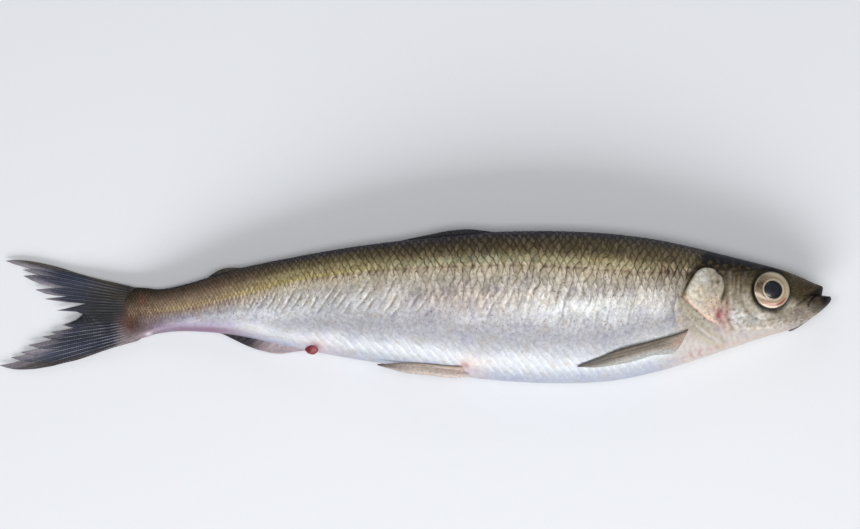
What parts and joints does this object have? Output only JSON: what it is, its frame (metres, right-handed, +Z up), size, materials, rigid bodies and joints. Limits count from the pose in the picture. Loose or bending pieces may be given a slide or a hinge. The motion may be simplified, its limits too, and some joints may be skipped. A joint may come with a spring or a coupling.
{
  "type": "whole raw whitefish",
  "caption": "Slim silver whitefish, whole and raw, lying on its left side with its fins folded, a forked tail and one flat patch on the lower flank.",
  "frame": {"origin": "middle of the bounding box in X and Y, on the surface the fish lies on", "axes": "+X along the body towards the snout, +Y across the body towards the back, +Z up, out of the right flank"},
  "size_m": [0.2202, 0.0406, 0.0213],
  "materials": {
    "skin": "wet scaled skin, olive brown on the back, yellow green above the lateral line, silver and lilac on the flank, white on the belly",
    "fin": "thin rayed membrane, dark grey brown, paler and pinkish at the roots, slightly see-through at the edges",
    "eye": "wet clear eye with a pale gold iris and a near-black pupil"
  },
  "bodies": {
    "root": {"fish": "skin"}
  },
  "joints": []
}
